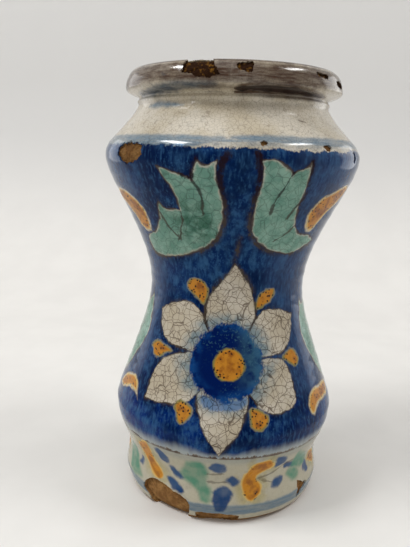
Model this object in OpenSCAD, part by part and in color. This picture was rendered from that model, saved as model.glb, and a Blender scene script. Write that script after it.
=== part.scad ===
// Waisted drug jar (albarello) of tin-glazed earthenware, thrown on a wheel.
// The clay body is one revolved wall. Its glaze coats are thin revolved skins that lie on the clay.
// Z is up, the jar stands on z = 0 and its axis is the Z axis. The painted flower faces -Y.

/* [Foot] */
// Width of the flat ring that the jar stands on, across its outer edge
stand_d = 88; // [84:0.5:90]
// Width of the foot where the glaze stops above the bare clay edge
hem_d = 92.8; // [91:0.2:94]
// Height of the bare clay edge under the glaze
hem_h = 2.4; // [1.5:0.1:4]
// Width of the foot drum at its fullest
drum_d = 96.6; // [95:0.2:100]
// Height of the fullest part of the foot drum
drum_h = 10; // [8:0.5:12]
// Width of the foot at its top, where the cove under the belly starts
foot_d = 94.8; // [92:0.2:97]
// Height of the foot
foot_h = 20; // [16:0.5:24]
// Width of the turned hollow under the foot
hollow_d = 66; // [40:1:74]
// Depth of the turned hollow under the foot
hollow_h = 2; // [1:0.1:3]

/* [Body] */
// Width of the belly at its fullest
belly_d = 107.2; // [102:0.2:116]
// Rise from the top of the foot to the fullest part of the belly
belly_rise = 25; // [20:0.5:32]
// Width of the waist at its narrowest, where a hand takes hold
waist_d = 74; // [66:0.5:84]
// Rise from the belly to the waist
waist_rise = 57; // [45:0.5:75]
// Width of the shoulder at its fullest
shoulder_d = 118; // [108:0.5:128]
// Rise from the waist to the shoulder
shoulder_rise = 61; // [48:0.5:80]

/* [Neck and rim] */
// Width of the neck at its narrowest, where a cover is tied on
neck_d = 86.4; // [80:0.2:92]
// Rise from the shoulder to the neck
neck_rise = 24; // [20:0.5:30]
// Width of the rim at its fullest
rim_d = 99; // [95:0.2:106]
// Rise from the neck to the fullest part of the rim
rim_rise = 4.6; // [3.5:0.1:7]
// How far the crest of the lip lies inside the fullest part of the rim
lip_roll = 5; // [3.5:0.1:7]
// Rise from the fullest part of the rim to the crest of the lip
lip_rise = 8.4; // [6:0.1:11]
// Length of the straight throat inside the neck
throat_h = 9; // [6:0.5:12]

/* [Clay and glaze] */
// Thickness of the wall, glaze included
wall_t = 5; // [4:0.1:6.5]
// Thickness of the neck wall, glaze included
neck_wall_t = 5.7; // [4.5:0.1:7]
// Height of the floor inside the jar
floor_h = 9; // [7:0.1:11]
// Thickness of the glaze coat
glaze_t = 0.5; // [0.3:0.05:0.9]
// Depth of a flaked patch, glaze included
flake_t = 1.1; // [1:0.1:1.8]
// Depth of the chip at the edge of the foot, glaze included
chip_t = 1.9; // [1:0.1:2.6]
// Height above the shoulder at which the blue ground gives way to the pale neck
shoulder_line = 4.2; // [2:0.1:8]
// Height above the foot at which the blue ground gives way to the pale foot
foot_line = 15; // [10:0.5:18]

/* [Hidden] */
$fn = 96;
steps = 10;           // chords in each curved span of the profile
crown_margin = 1;     // how far a cutting shape reaches past the surface that it trims
inner_floor_share = 0.46;  // flat part of the floor, as a share of the belly's inner radius

// Heights of the stations, stacked from the ground up
belly_z = foot_h + belly_rise;
waist_z = belly_z + waist_rise;
shoulder_z = waist_z + shoulder_rise;
neck_z = shoulder_z + neck_rise;
rim_z = neck_z + rim_rise;
lip_z = rim_z + lip_rise;
lip_d = rim_d - 2 * lip_roll;
throat_low_z = neck_z - throat_h / 3;
throat_top_z = throat_low_z + throat_h;
throat_r = neck_d / 2 - neck_wall_t;
body_top_z = shoulder_z + shoulder_line;
body_low_z = foot_h + foot_line;
widest_r = max(drum_d, belly_d, shoulder_d, rim_d) / 2;

// Losses: where glaze, and a little of the clay under it, has been knocked off.
// Each is [azimuth of its middle from the painted front in degrees, height of its middle, outline].
// The outline's points are [across, up] from that middle.
rim_flakes = [
    [-16, rim_z + 4.4, [[-8.4, 6], [-7.5, 1.5], [-7.6, -1.3], [-0.7, -3.4], [4, -3.8], [8.7, -2.4],
                        [5.8, 1.9], [4.2, 6]]],
    [5, rim_z + 5.4, [[-3.4, 1], [0, 1.8], [3.3, 2.2], [3.2, -0.2], [2.3, -2.2], [-0.8, -1.9],
                      [-3.1, -0.5]]],
    [48, rim_z + 4.6, [[-4.5, 0.9], [0, 0.6], [4, 0.2], [3.6, -1.2], [-0.5, -0.9], [-4, -0.3]]],
    [67, rim_z + 2.7, [[-4, 0.9], [1.5, 1.1], [5, -0.2], [3.5, -1.6], [-1, -1.5], [-4.4, -0.6]]]
];
shoulder_flakes = [
    [-45.4, shoulder_z + 0.3, [[-7.6, 0.6], [-6, 3.4], [-2.6, 4.8], [2, 4.6], [5.6, 3.2], [7.6, 0.4],
                               [6.4, -2.6], [3, -4.4], [-1.5, -4.9], [-5.6, -3.4]]],
    [12.4, shoulder_z + 5.2, [[-1.7, 0.1], [-0.4, 0.9], [1.6, 0.4], [1.5, -0.5], [0.2, -0.9],
                              [-1.2, -0.7]]],
    [42, shoulder_z + 4.3, [[-2.7, 0.3], [0.2, 1.3], [2.6, 0.2], [1.4, -1], [-1.2, -1.2]]],
    [63.3, shoulder_z + 0.5, [[-1.4, 2], [0.8, 2.4], [1.6, -0.4], [0.4, -2.4], [-1.6, -1.2]]]
];
foot_flakes = [
    [-1, hem_h + 0.6, [[-9.8, 1.7], [-2.4, 2.5], [4, 2.2], [10, 1.1], [10, -5], [-9.6, -5]]],
    [52.5, drum_h, [[-2.6, 4.4], [2.1, 1.6], [5.6, 0.9], [0.9, -2.1], [-1.2, -5.6], [-2.4, -1]]]
];
foot_chips = [
    [-33, drum_h - 2, [[-13.2, -0.6], [-11.8, 3.4], [-6.6, 7], [-2.5, 7.3], [6.1, 5.1], [10.9, 3.9],
                       [14, 1.7], [14.1, -2.4], [11, -10], [-6.5, -10], [-10, -3.6]]]
];

// Cubic Bezier through four control points
function bezier(a, b, c, d) = [
    for (i = [0 : steps]) let (t = i / steps, u = 1 - t)
        u * u * u * a + 3 * u * u * t * b + 3 * u * t * t * c + t * t * t * d
];

// Curve from a to b that is upright at both ends; ka and kb say how far each end runs upright
function upright_span(a, b, ka, kb) =
    bezier(a, [a[0], a[1] + ka * (b[1] - a[1])], [b[0], b[1] - kb * (b[1] - a[1])], b);

// Curve from a, where it is upright, to b, where it is level
function turn_to_level(a, b, ka, kb) =
    bezier(a, [a[0], a[1] + ka * (b[1] - a[1])], [b[0] + kb * (a[0] - b[0]), b[1]], b);

function reversed(path) = [for (i = [len(path) - 1 : -1 : 0]) path[i]];

// Joins curves end to end, leaving out the repeated point where two meet
function joined(curves) = [
    for (k = [0 : len(curves) - 1]) for (i = [(k == 0 ? 0 : 1) : len(curves[k]) - 1]) curves[k][i]
];

// Moves a path sideways by t, to its left as it runs
function inset(path, t) = [
    for (i = [0 : len(path) - 1])
        let (
            before = path[max(i - 1, 0)],
            after = path[min(i + 1, len(path) - 1)],
            along = (after - before) / norm(after - before)
        )
        path[i] + t * [-along[1], along[0]]
];

// Stretches of the visible outer surface as [radius, height], from the hem of the glaze up to the lip
foot_bevel = bezier([hem_d / 2, hem_h], [hem_d / 2 + (drum_d - hem_d) / 4, hem_h + (drum_h - hem_h) / 3],
                    [drum_d / 2, drum_h - (drum_h - hem_h) / 3], [drum_d / 2, drum_h]);
foot_side = upright_span([drum_d / 2, drum_h], [foot_d / 2, foot_h], 0.4, 0.4);
cove = upright_span([foot_d / 2, foot_h], [belly_d / 2, belly_z], 0.36, 0.46);
lower_body = upright_span([belly_d / 2, belly_z], [waist_d / 2, waist_z], 0.1, 0.27);
upper_body = upright_span([waist_d / 2, waist_z], [shoulder_d / 2, shoulder_z], 0.41, 0.21);
neck_slope = upright_span([shoulder_d / 2, shoulder_z], [neck_d / 2, neck_z], 0.27, 0.3);
rim_underside = upright_span([neck_d / 2, neck_z], [rim_d / 2, rim_z], 0.42, 0.5);
rim_roll = turn_to_level([rim_d / 2, rim_z], [lip_d / 2, lip_z], 0.6, 0.4);
outer_face = joined([foot_bevel, foot_side, cove, lower_body, upper_body, neck_slope,
                     rim_underside, rim_roll]);

// Visible inner surface, from the crest of the lip down to the middle of the floor
inner_face = joined([
    reversed(turn_to_level([throat_r, throat_top_z], [lip_d / 2, lip_z], 0.45, 0.5)),
    [[throat_r, throat_top_z], [throat_r, throat_low_z]],
    upright_span([throat_r, throat_low_z], [shoulder_d / 2 - wall_t, shoulder_z], 0.3, 0.27),
    upright_span([shoulder_d / 2 - wall_t, shoulder_z], [waist_d / 2 - wall_t, waist_z], 0.21, 0.41),
    upright_span([waist_d / 2 - wall_t, waist_z], [belly_d / 2 - wall_t, belly_z], 0.27, 0.1),
    turn_to_level([belly_d / 2 - wall_t, belly_z],
                  [inner_floor_share * (belly_d / 2 - wall_t), floor_h], 0.35, 0.5),
    [[inner_floor_share * (belly_d / 2 - wall_t), floor_h], [0, floor_h]]
]);

// The clay lies one glaze thickness under each visible surface
outer_clay = inset(outer_face, glaze_t);
inner_clay = inset(inner_face, glaze_t);

// A bar that stands out from the axis through a loss, with the loss's outline
module loss_bar(loss) {
    rotate([0, 0, loss[0] - 90]) translate([0, 0, loss[1]])
        rotate([90, 0, 90]) linear_extrude(widest_r + crown_margin) polygon(loss[2]);
}

// What is knocked off at these losses, as deep as given under that stretch of the surface
module knocked_off(losses, surface, depth) {
    intersection() {
        for (loss = losses) loss_bar(loss);
        rotate_extrude() polygon(concat(inset(surface, -crown_margin), reversed(inset(surface, depth))));
    }
}

module rim_losses() {
    past_crest = [[lip_d / 2, lip_z], [lip_d / 2 - crown_margin, lip_z]];
    knocked_off(rim_flakes, joined([rim_underside, rim_roll, past_crest]), flake_t);
}

module shoulder_losses() {
    knocked_off(shoulder_flakes, joined([upper_body, neck_slope]), flake_t);
}

module foot_losses() {
    foot_wall = joined([[[stand_d / 2, -crown_margin], [hem_d / 2, hem_h]], foot_bevel, foot_side]);
    knocked_off(foot_flakes, foot_wall, flake_t);
    knocked_off(foot_chips, foot_wall, chip_t);
}

// The part of the outer coat between two heights
module outer_coat(low_z, top_z) {
    intersection() {
        rotate_extrude() polygon(concat(outer_face, reversed(outer_clay)));
        translate([0, 0, low_z]) cylinder(r = widest_r + crown_margin, h = top_z - low_z);
    }
}

// Thrown and fired clay, one piece from the foot to the lip
module clay_body() {
    underside = [[0, hollow_h], [hollow_d / 2 - hollow_h, hollow_h], [hollow_d / 2, 0], [stand_d / 2, 0]];
    color("sienna") difference() {
        rotate_extrude() polygon(concat(underside, outer_clay, inner_clay));
        rim_losses();
        shoulder_losses();
        foot_losses();
    }
}

// Tin glaze poured inside, from the crest of the lip to the floor
module inner_glaze() {
    color("antiquewhite") difference() {
        rotate_extrude() polygon(concat(inner_clay, reversed(inner_face)));
        rim_losses();
    }
}

// Pale tin glaze over the rim, the neck and the top of the shoulder
module neck_glaze() {
    color("antiquewhite") difference() {
        outer_coat(body_top_z, lip_z + crown_margin);
        rim_losses();
        shoulder_losses();
    }
}

// Glaze with the blue ground, from the shoulder to the line above the foot
module body_glaze() {
    color("royalblue") difference() {
        outer_coat(body_low_z, body_top_z);
        shoulder_losses();
    }
}

// Pale tin glaze on the foot, down to the bare clay edge
module foot_glaze() {
    color("ivory") difference() {
        outer_coat(0, body_low_z);
        foot_losses();
    }
}

clay_body();
inner_glaze();
neck_glaze();
body_glaze();
foot_glaze();
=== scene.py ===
import functools
import math

import bpy
import numpy as np
from mathutils import Matrix, Vector, noise


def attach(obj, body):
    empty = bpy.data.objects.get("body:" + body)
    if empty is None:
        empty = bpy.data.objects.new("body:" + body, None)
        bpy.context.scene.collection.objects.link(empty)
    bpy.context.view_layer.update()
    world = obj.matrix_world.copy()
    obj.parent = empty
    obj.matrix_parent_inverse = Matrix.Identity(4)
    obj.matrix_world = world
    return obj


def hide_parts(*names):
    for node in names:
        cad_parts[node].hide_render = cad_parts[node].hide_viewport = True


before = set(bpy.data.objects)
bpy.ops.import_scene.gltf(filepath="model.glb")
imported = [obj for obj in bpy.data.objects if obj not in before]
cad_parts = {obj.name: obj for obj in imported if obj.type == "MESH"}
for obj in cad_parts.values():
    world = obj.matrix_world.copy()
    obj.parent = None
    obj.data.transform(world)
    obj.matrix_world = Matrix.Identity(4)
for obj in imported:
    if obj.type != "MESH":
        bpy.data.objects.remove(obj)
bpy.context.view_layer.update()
mm = 0.001
bpy.context.scene.view_settings.view_transform = "Standard"
print("frame loaded:", sorted(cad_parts))

# the turned wall, in mm: stations are (radius, height) from the ground up
jarForm = {
    "stand": (44.0, 0.0),
    "hem": (46.4, 2.4),
    "drum": (48.3, 10.0),
    "footTop": (47.4, 20.0),
    "belly": (53.6, 45.0),
    "waist": (37.0, 102.0),
    "shoulder": (59.0, 163.0),
    "neck": (43.2, 187.0),
    "rim": (49.5, 191.6),
    "lip": (44.5, 200.0),
    "throatRadius": 37.5,
    "throatLow": 184.0,
    "throatTop": 193.0,
    "wall": 5.0,
    "floor": 9.0,
    "floorFlat": 22.4,
    "hollowRadius": 33.0,   # the hollow under the foot
    "hollowRise": 2.0,
    "glaze": 0.5,           # thickness of each coat
    "bodyLow": 35.0,        # the coat with the blue ground runs between these heights
    "bodyTop": 167.2,
    "columns": 400,         # facets round the jar
    "spanSteps": {"fine": 60, "clayOut": 14, "clayIn": 10, "inside": 24},  # in each curve of a face
    "rowSpacing": {"neck": 0.36, "body": 0.74, "foot": 0.45},  # between the rows of each coat's face
    "hiddenSpacing": 3.0,   # and between the rows on its back
    "smoothAngle": 35,      # degrees
}


def bezier(a, b, c, d, count):
    t = np.linspace(0, 1, count + 1)[:, None]
    a, b, c, d = (np.array(p, float) for p in (a, b, c, d))
    return (1 - t) ** 3 * a + 3 * (1 - t) ** 2 * t * b + 3 * (1 - t) * t * t * c + t ** 3 * d


def uprightSpan(a, b, ka, kb, count):
    # upright at both ends; ka and kb say how far each end stays so, as a share of the rise
    rise = b[1] - a[1]
    return bezier(a, (a[0], a[1] + ka * rise), (b[0], b[1] - kb * rise), b, count)


def turnToLevel(a, b, ka, kb, count):
    return bezier(a, (a[0], a[1] + ka * (b[1] - a[1])), (b[0] + kb * (a[0] - b[0]), b[1]), b, count)


def joinedPath(spans):
    return np.vstack([spans[0]] + [s[1:] for s in spans[1:]])


def insetPath(path, depth):
    along = np.gradient(path, axis=0)
    along /= np.linalg.norm(along, axis=1)[:, None]
    return path + depth * np.stack([-along[:, 1], along[:, 0]], 1)


def travelAlong(path):
    return np.concatenate([[0], np.cumsum(np.linalg.norm(np.diff(path, axis=0), axis=1))])


def pointsAlong(path, travel, at):
    return np.stack([np.interp(at, travel, path[:, k]) for k in (0, 1)], -1)


def outerFace(count):
    f = jarForm
    hem, drum = f["hem"], f["drum"]
    rise = (drum[1] - hem[1]) / 3
    overHem = (hem[0] + (drum[0] - hem[0]) / 2, hem[1] + rise)
    return joinedPath([
        bezier(hem, overHem, (drum[0], drum[1] - rise), drum, count),
        uprightSpan(drum, f["footTop"], 0.4, 0.4, count),
        uprightSpan(f["footTop"], f["belly"], 0.36, 0.46, count),
        uprightSpan(f["belly"], f["waist"], 0.1, 0.27, count),
        uprightSpan(f["waist"], f["shoulder"], 0.41, 0.21, count),
        uprightSpan(f["shoulder"], f["neck"], 0.27, 0.3, count),
        uprightSpan(f["neck"], f["rim"], 0.42, 0.5, count),
        turnToLevel(f["rim"], f["lip"], 0.6, 0.4, count),
    ])


def innerFace(count):
    f = jarForm
    throat = f["throatRadius"]
    shoulder, waist, belly = ((f[k][0] - f["wall"], f[k][1]) for k in ("shoulder", "waist", "belly"))
    return joinedPath([
        turnToLevel((throat, f["throatTop"]), f["lip"], 0.45, 0.5, count)[::-1],
        np.array([(throat, f["throatTop"]), (throat, f["throatLow"])]),
        uprightSpan((throat, f["throatLow"]), shoulder, 0.3, 0.27, count),
        uprightSpan(shoulder, waist, 0.21, 0.41, count),
        uprightSpan(waist, belly, 0.27, 0.1, count),
        turnToLevel(belly, (f["floorFlat"], f["floor"]), 0.35, 0.5, count),
        np.array([(f["floorFlat"], f["floor"]), (0.0, f["floor"])]),
    ])


def stretchOf(path, lowZ, topZ, spacing):
    # the part of a rising path between two heights, in even steps along it
    keep = path[(path[:, 1] > lowZ + 1e-6) & (path[:, 1] < topZ - 1e-6)]
    ends = [(np.interp(z, path[:, 1], path[:, 0]), z) for z in (lowZ, topZ)]
    run = np.vstack([ends[0], keep, ends[1]])
    travel = travelAlong(run)
    return pointsAlong(run, travel, np.linspace(0, travel[-1], max(2, round(travel[-1] / spacing)) + 1))


finePath = outerFace(jarForm["spanSteps"]["fine"])
clayPath = insetPath(finePath, jarForm["glaze"])
fineTravel = travelAlong(finePath)


def wallRadius(z):
    return np.interp(z, finePath[:, 1], finePath[:, 0])


def wallTravel(z):
    # length along the wall from the hem up to a height
    return np.interp(z, finePath[:, 1], fineTravel)


# what the wheel and the tool left on the outside, in mm
handMarks = {
    # throwing rings: rise, radians for each mm of height, sway and where the sway starts
    "rings": ((0.05, 1.15, 0.8, 0.0), (0.04, 0.71, 1.4, 1 + math.pi / 2)),
    # an uneven coat: rise, waves round the jar, radians for each mm of height
    "drift": ((0.07, 3, 0.06), (0.05, 7, -0.11), (0.04, 11, 0.23)),
    # tooled lines under the rim, on the shoulder, over the foot and at its edge: height, width, rise
    "tooled": ((186.1, 1.0, 0.85), (188, 1.0, -0.2), (168.4, 1.4, 0.3), (34.2, 0.6, -0.25), (9.8, 0.9, 0.35)),
}


def ripple(azimuth, z):
    a = np.radians(azimuth)
    rings = sum(rise * np.sin(z * rate + sway * np.sin(a + start))
                for rise, rate, sway, start in handMarks["rings"])
    drift = sum(rise * np.sin(waves * a + z * rate) for rise, waves, rate in handMarks["drift"])
    tooled = sum(rise * np.exp(-((z - at) / width) ** 2) for at, width, rise in handMarks["tooled"])
    return rings + drift + tooled


def azimuthOf(co):
    return np.degrees(np.arctan2(co[:, 0], -co[:, 1]))


def readCo(piece):
    co = np.empty(len(piece.data.vertices) * 3, np.float32)
    piece.data.vertices.foreach_get("co", co)
    return co.reshape(-1, 3).astype(float) / mm


def writeCo(piece, co):
    piece.data.vertices.foreach_set("co", (co * mm).astype(np.float32).ravel())
    piece.data.update()


def onlyActive(piece):
    bpy.ops.object.select_all(action="DESELECT")
    piece.select_set(True)
    bpy.context.view_layer.objects.active = piece


def turnOnWheel(name, section, closed):
    # a ring of vertices takes the section's form and is turned round Z; an open section ends on the axis
    bpy.ops.object.select_all(action="DESELECT")
    bpy.ops.mesh.primitive_circle_add(vertices=len(section), radius=0.05, fill_type="NOTHING")
    piece = bpy.context.object
    piece.name = piece.data.name = name
    writeCo(piece, np.stack([np.zeros(len(section)), -section[:, 0], section[:, 1]], 1))
    if not closed:
        ends = {0, len(section) - 1}
        for vert in piece.data.vertices:
            vert.select = vert.index in ends
        for edge in piece.data.edges:
            edge.select = set(edge.vertices) == ends
        bpy.ops.object.mode_set(mode="EDIT")
        bpy.ops.mesh.select_mode(type="EDGE")
        bpy.ops.mesh.delete(type="EDGE")
        bpy.ops.object.mode_set(mode="OBJECT")
    wheel = piece.modifiers.new("wheel", "SCREW")
    wheel.axis = "Z"
    wheel.steps = wheel.render_steps = jarForm["columns"]
    wheel.use_merge_vertices = True
    wheel.merge_threshold = 1e-6
    bpy.ops.object.modifier_apply(modifier=wheel.name)
    print("turned", name, len(piece.data.polygons), "faces")
    return piece


def glazeSkin(name, lowZ, topZ):
    f = jarForm
    outside = stretchOf(finePath, lowZ, topZ, f["rowSpacing"][name[:4]])
    inside = stretchOf(clayPath, max(lowZ, clayPath[0, 1]), min(topZ, clayPath[-1, 1]), f["hiddenSpacing"])
    piece = turnOnWheel(name, np.vstack([outside, inside[::-1]]), closed=True)
    co = readCo(piece)
    radius = np.hypot(co[:, 0], co[:, 1])
    isOuter = radius > np.interp(co[:, 2], clayPath[:, 1], clayPath[:, 0]) + 0.6 * f["glaze"]
    pushed = radius + np.where(isOuter, ripple(azimuthOf(co), co[:, 2]), 0)
    co[:, :2] *= (pushed / np.maximum(radius, 1e-6))[:, None]
    writeCo(piece, co)
    return piece


# losses, in mm: middle as (azimuth from the front, height), depth, outline as (across, up) from the middle
losses = {
    "rimFront": {"at": (-16, 196.0), "depth": 1.1, "outline": [
        (-8.4, 6), (-7.5, 1.5), (-7.6, -1.3), (-0.7, -3.4), (4, -3.8), (8.7, -2.4), (5.8, 1.9), (4.2, 6)]},
    "rimMiddle": {"at": (5, 197.0), "depth": 0.9, "outline": [
        (-3.4, 1), (0, 1.8), (3.3, 2.2), (3.2, -0.2), (2.3, -2.2), (-0.8, -1.9), (-3.1, -0.5)]},
    "rimRight": {"at": (48, 196.2), "depth": 0.8, "outline": [
        (-4.5, 0.9), (0, 0.6), (4, 0.2), (3.6, -1.2), (-0.5, -0.9), (-4, -0.3)]},
    "rimFarRight": {"at": (67, 194.3), "depth": 0.9, "outline": [
        (-4, 0.9), (1.5, 1.1), (5, -0.2), (3.5, -1.6), (-1, -1.5), (-4.4, -0.6)]},
    "shoulderLeft": {"at": (-45.4, 163.3), "depth": 1.1, "outline": [
        (-0.5, 4.7), (1.5, 3.8), (3.4, 4.3), (5.5, 3.3), (8, 2.8), (7.6, 1.2), (8.4, -0.3), (6.7, -1.4),
        (6.2, -2.5), (3.7, -3.1), (2.2, -4.2), (0, -3.7), (-2.2, -4.9), (-3.7, -3.7), (-6, -3.5), (-7, -1.9),
        (-8.8, -1), (-8.2, 0.7), (-8.6, 1.9), (-6.7, 2.8), (-6.2, 3.9), (-3.5, 3.6), (-2.2, 4.4)]},
    "shoulderMiddle": {"at": (12.4, 168.2), "depth": 0.8, "outline": [
        (-1.7, 0.1), (-0.4, 0.9), (1.6, 0.4), (1.5, -0.5), (0.2, -0.9), (-1.2, -0.7)]},
    "shoulderRight": {"at": (42, 167.3), "depth": 0.8, "outline": [
        (-2.7, 0.3), (0.2, 1.3), (2.6, 0.2), (1.4, -1), (-1.2, -1.2)]},
    "shoulderFarRight": {"at": (63.3, 163.5), "depth": 0.8, "outline": [
        (-1.4, 2), (0.8, 2.4), (1.6, -0.4), (0.4, -2.4), (-1.6, -1.2)]},
    "footStrip": {"at": (-1, 3.0), "depth": 1.0, "outline": [
        (-9.8, 1.7), (-2.4, 2.5), (4, 2.2), (10, 1.1), (9.4, -2.6), (-9.2, -2.6)]},
    "footRight": {"at": (52.5, 10.0), "depth": 1.1, "outline": [
        (-2.6, 4.4), (2.1, 1.6), (5.6, 0.9), (0.9, -2.1), (-1.2, -5.6), (-2.4, -1)]},
    "footLeft": {"at": (-33, 8.0), "depth": 1.9, "outline": [
        (-13.2, -0.6), (-11.8, 3.4), (-6.6, 7), (-2.5, 7.3), (6.1, 5.1), (10.9, 3.9), (14, 1.7), (14.1, -2.4),
        (11, -10), (-6.5, -10), (-10, -3.6)]},
}
lossNames = {part: [n for n in losses if n.startswith(part)] for part in ("rim", "shoulder", "foot")}
# how a loss is broken out, in mm
lossFinish = {
    "edgeStep": 0.5,              # between points along a broken edge
    "edgeRough": {"rim": 0.3, "sho": 0.3, "foo": 0.16},  # how far it wanders, by the name's first letters
    "edgeBow": 0.06,              # how far a run of the outline bows out, as a share of its length
    "floorRough": 0.3,            # how far the bared clay rises and falls
    "floorGrain": ((0.9, 1.0), (2.7, 0.6)),  # waves in a mm, and their share
    "clearance": 2.5,             # how far a cutter stands out of the wall
    "underGround": (40.5, -5.0),  # where the wall that the cutters follow starts
    "overLip": 8.0,               # how far it runs in over the lip
    "wallStep": 0.5,              # between the places where its direction is taken
    "wallSoft": 5,                # places on either side that soften the direction
    "manyPoints": 40,             # an outline of more points than this has its floor cut finer
    "floorCuts": (4, 7),          # cuts across a floor, and across such a finer one
}

# the wall as the cutters follow it: from under the ground, past the hem and inwards over the crest of the lip
cutterWall = joinedPath([
    np.array([lossFinish["underGround"], jarForm["stand"], jarForm["hem"]]),
    finePath,
    np.array([jarForm["lip"], (jarForm["lip"][0] - lossFinish["overLip"], jarForm["lip"][1])]),
])
cutterTravel = travelAlong(cutterWall)
evenTravel = np.arange(0, cutterTravel[-1], lossFinish["wallStep"])
evenWall = pointsAlong(cutterWall, cutterTravel, evenTravel)
# outward directions, softened so that a cutter does not fold at the hem
softWidth = 2 * lossFinish["wallSoft"] + 1
evenNormal = np.stack([
    np.convolve(np.pad(n, lossFinish["wallSoft"], mode="edge"), np.ones(softWidth) / softWidth, "valid")
    for n in (insetPath(evenWall, -1.0) - evenWall).T], 1)


def wallPoint(z):
    # place and outward direction on the wall at a height; above the crest it runs inwards over the lip
    crest = jarForm["lip"][1]
    travel = np.interp(np.minimum(z, crest), cutterWall[:-1, 1], cutterTravel[:-1]) + np.maximum(z - crest, 0)
    place = pointsAlong(evenWall, evenTravel, travel)
    normal = pointsAlong(evenNormal, evenTravel, travel)
    return place, normal / np.linalg.norm(normal, axis=-1)[..., None]


def brokenOutline(outline, seed, rough):
    # the outline's straight runs become a wandering broken edge
    wander = np.random.default_rng(seed)
    points = []
    for (ax, ay), (bx, by) in zip(outline, outline[1:] + outline[:1]):
        length = math.hypot(bx - ax, by - ay)
        count = max(2, round(length / lossFinish["edgeStep"]))
        for k in range(count):
            t = k / count
            off = lossFinish["edgeBow"] * length * math.sin(math.pi * t) + rough * wander.uniform(-1, 1)
            x = ax + t * (bx - ax) - off * (by - ay) / length
            y = ay + t * (by - ay) + off * (bx - ax) / length
            points.append((x, y))
    return np.array(points)


def lossCutter(name, spec, seed):
    edge = brokenOutline(spec["outline"], seed, lossFinish["edgeRough"][name[:3]])
    bpy.ops.object.select_all(action="DESELECT")
    bpy.ops.mesh.primitive_circle_add(vertices=len(edge), radius=0.01, fill_type="TRIFAN")
    cutter = bpy.context.object
    cutter.name = "cutter_" + name
    co = readCo(cutter)
    flat = np.zeros_like(co)
    isEdge = np.hypot(co[:, 0], co[:, 1]) > 1e-3
    flat[isEdge, :2] = edge
    flat[~isEdge, :2] = edge.mean(0)
    writeCo(cutter, flat)
    bpy.ops.object.mode_set(mode="EDIT")
    bpy.ops.mesh.select_all(action="SELECT")
    bpy.ops.mesh.subdivide(number_cuts=lossFinish["floorCuts"][len(edge) > lossFinish["manyPoints"]])
    bpy.ops.mesh.select_all(action="SELECT")
    bpy.ops.mesh.extrude_region_move(TRANSFORM_OT_translate={"value": (0, 0, 1 * mm)})
    bpy.ops.mesh.select_all(action="SELECT")
    bpy.ops.mesh.normals_make_consistent(inside=False)
    bpy.ops.object.mode_set(mode="OBJECT")
    co = readCo(cutter)
    azimuth, height = spec["at"]
    place, normal = wallPoint(height + co[:, 1])
    waves = lossFinish["floorGrain"]
    grain = np.array([sum(share * noise.noise(Vector((x * rate, y * rate, seed))) for rate, share in waves)
                      for x, y in co[:, :2]])
    depth = -spec["depth"] + lossFinish["floorRough"] * grain * min(1, spec["depth"])
    out = np.where(co[:, 2] > 0.5, lossFinish["clearance"], depth)
    radius = place[:, 0] + normal[:, 0] * out
    z = place[:, 1] + normal[:, 1] * out
    turn = math.radians(azimuth) + co[:, 0] / wallRadius(height)
    writeCo(cutter, np.stack([radius * np.sin(turn), -radius * np.cos(turn), z], 1))
    return cutter


def cutLosses(piece, names):
    cutters = [lossCutter(n, losses[n], seed) for seed, n in enumerate(losses, 1) if n in names]
    onlyActive(cutters[0])
    for c in cutters:
        c.select_set(True)
    bpy.ops.object.join()
    knife = bpy.context.object
    onlyActive(piece)
    cut = piece.modifiers.new("losses", "BOOLEAN")
    cut.operation = "DIFFERENCE"
    cut.solver = "EXACT"
    cut.object = knife
    bpy.ops.object.modifier_apply(modifier=cut.name)
    bpy.data.objects.remove(knife)
    print("losses cut in", piece.name, len(piece.data.polygons), "faces")


form = jarForm
clayOut = insetPath(outerFace(form["spanSteps"]["clayOut"]), form["glaze"])
clayIn = insetPath(innerFace(form["spanSteps"]["clayIn"]), form["glaze"])
clayIn[-1] = (0, form["floor"] - form["glaze"])
underside = np.array([
    (0, form["hollowRise"]), (form["hollowRadius"] - form["hollowRise"], form["hollowRise"]),
    (form["hollowRadius"], 0), form["stand"]])
clay = turnOnWheel("clay_wall", np.vstack([underside, clayOut, clayIn[1:]]), closed=False)
insideFace = innerFace(form["spanSteps"]["inside"])
inside = turnOnWheel("inner_tin_glaze", np.vstack([clayIn[::-1], insideFace]), closed=False)
neck = glazeSkin("neck_tin_glaze", form["bodyTop"], form["lip"][1])
body = glazeSkin("body_painted_glaze", form["bodyLow"], form["bodyTop"])
foot = glazeSkin("foot_painted_glaze", form["hem"][1], form["bodyLow"])
for piece, names in (
    (clay, list(losses)),
    (neck, lossNames["rim"] + lossNames["shoulder"]),
    (body, lossNames["shoulder"]),
    (foot, lossNames["foot"]),
    (inside, ["rimFront"]),
):
    cutLosses(piece, names)
    bpy.ops.object.shade_smooth_by_angle(angle=math.radians(form["smoothAngle"]))

for piece, node, slot in (
    (clay, "clay_body", "fired_clay"),
    (inside, "inner_glaze", "pale_glaze"),
    (neck, "neck_glaze", "pale_glaze"),
    (body, "body_glaze", "blue_glaze"),
    (foot, "foot_glaze", "pale_glaze"),
):
    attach(piece, "root")
    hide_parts(node)

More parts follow.
